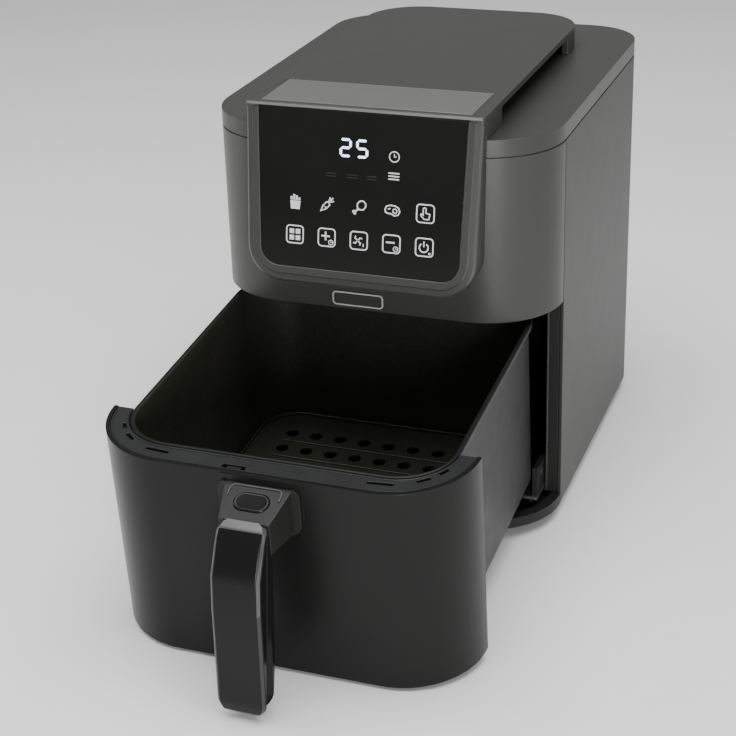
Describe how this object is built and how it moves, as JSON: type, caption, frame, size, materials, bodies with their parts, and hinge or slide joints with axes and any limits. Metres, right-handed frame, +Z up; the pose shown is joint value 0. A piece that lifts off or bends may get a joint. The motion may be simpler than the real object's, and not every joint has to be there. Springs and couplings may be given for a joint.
{
  "type": "air fryer",
  "caption": "Countertop air fryer with a slanted touch panel, floating top slab, pull-out tip-down drawer with grip, pan, crisper plate, heater and fan.",
  "frame": {"origin": "on the counter, under the centre of the box that holds the fryer with its drawer drawn out as stored", "axes": "-Y the way the drawer comes out, +X to the user's right when facing the panel, +Z up"},
  "size_m": [0.26, 0.5991, 0.334],
  "materials": {
    "housing_paint": "satin warm grey metallic lacquer",
    "inlay": "fine satin",
    "drawer_paint": "satin dark grey lacquer",
    "gloss_black": "high gloss",
    "matte_black": "fine moulded grain",
    "glass": "black back-painted touch glass",
    "nonstick": "dark non-stick coating",
    "liner_steel": "dark coated sheet",
    "bare_steel": "bright sheet metal",
    "element_tube": "dull heat-stained tube",
    "impeller_alu": "stamped sheet",
    "motor_can": "zinc plated",
    "ceramic": "ceramic",
    "pcb": "green laminate",
    "nylon": "natural nylon",
    "red_plastic": "moulded",
    "display": "diffuser",
    "rubber": "moulded",
    "silicone": "soft silicone"
  },
  "bodies": {
    "housing": {"base_tray": "matte_black", "rubber_feet": "rubber", "base_screws": "bare_steel", "side_panels": "housing_paint", "rear_panel": "housing_paint", "front_fascia": "housing_paint", "seam_joiners": "matte_black", "top_cover": "housing_paint", "intake_grille": "matte_black", "top_slab": "housing_paint", "top_inlay": "inlay", "control_bezel": "housing_paint", "touch_glass": "glass", "touch_pads": "rubber", "led_display": "display", "display_board": "pcb", "badge_plate": "inlay", "cavity_liner": "liner_steel", "liner_front_frame": "matte_black", "guide_rails": "bare_steel", "heating_element": "element_tube", "element_clips": "bare_steel", "element_guard": "bare_steel", "guard_posts": "bare_steel", "heat_shield": "bare_steel", "thermal_cutout": "ceramic", "ntc_sensor": "bare_steel", "motor_mount": "bare_steel", "motor": "motor_can", "exhaust_duct": "matte_black", "rear_exhaust_grille": "matte_black", "board_posts": "nylon", "power_board": "pcb", "drawer_switch": "matte_black", "wiring_harness": "rubber", "power_gland": "matte_black", "rear_spacers": "matte_black", "shell_screws": "bare_steel", "cover_posts": "matte_black"},
    "carriage": {"guide_shoes": "matte_black"},
    "drawer": {"drawer_front": "drawer_paint", "drawer_backing": "matte_black", "rim_frame": "matte_black", "pan": "nonstick", "grip_cover": "gloss_black", "grip_core": "matte_black", "handle_bracket": "matte_black", "handle_collar": "matte_black", "handle_screws": "bare_steel", "button_spring": "bare_steel"},
    "crisper": {"crisper_plate": "nonstick", "crisper_bumpers": "silicone"},
    "button": {"release_button": "matte_black"},
    "latch": {"latch_bolt": "matte_black"},
    "rotor": {"motor_shaft": "bare_steel", "hot_air_impeller": "impeller_alu", "cooling_fan": "matte_black", "shaft_nut": "bare_steel"},
    "plunger": {"switch_plunger": "red_plastic"}
  },
  "joints": [
    {"name": "drawer_slide", "type": "slide", "parent": "housing", "child": "carriage", "axis": [0, -1, 0], "range_m": [-0.201, 0.004]},
    {"name": "drawer_tip", "type": "hinge", "parent": "carriage", "child": "drawer", "pos_m": [0, 0.00852, 0.04], "axis": [1, 0, 0], "range_deg": [-4.9, 0.1]},
    {"name": "crisper_lift", "type": "slide", "parent": "drawer", "child": "crisper", "axis": [0, -0.0854, 0.9963], "range_m": [0, 0.1]},
    {"name": "button_press", "type": "slide", "parent": "drawer", "child": "button", "axis": [0, 0.4261, -0.9047], "range_m": [0, 0.004], "stiffness_N_per_m": 600, "springref_m": -0.002, "deforming": ["button_spring"]},
    {"name": "latch_drop", "type": "slide", "parent": "drawer", "child": "latch", "axis": [0, 0.0854, -0.9963], "range_m": [0, 0.004]},
    {"name": "fan_spin", "type": "hinge", "parent": "housing", "child": "rotor", "pos_m": [0, 0.10952, 0.25], "axis": [0, 0, 1], "continuous": true},
    {"name": "switch_press", "type": "slide", "parent": "housing", "child": "plunger", "axis": [0, 0, 1], "range_m": [0, 0.0015], "stiffness_N_per_m": 150, "springref_m": -0.001}
  ],
  "couplings": [
    {"joint": "drawer_tip", "follows": "drawer_slide", "rad_per_m": 0.42548},
    {"joint": "latch_drop", "follows": "button_press", "ratio": 1}
  ]
}
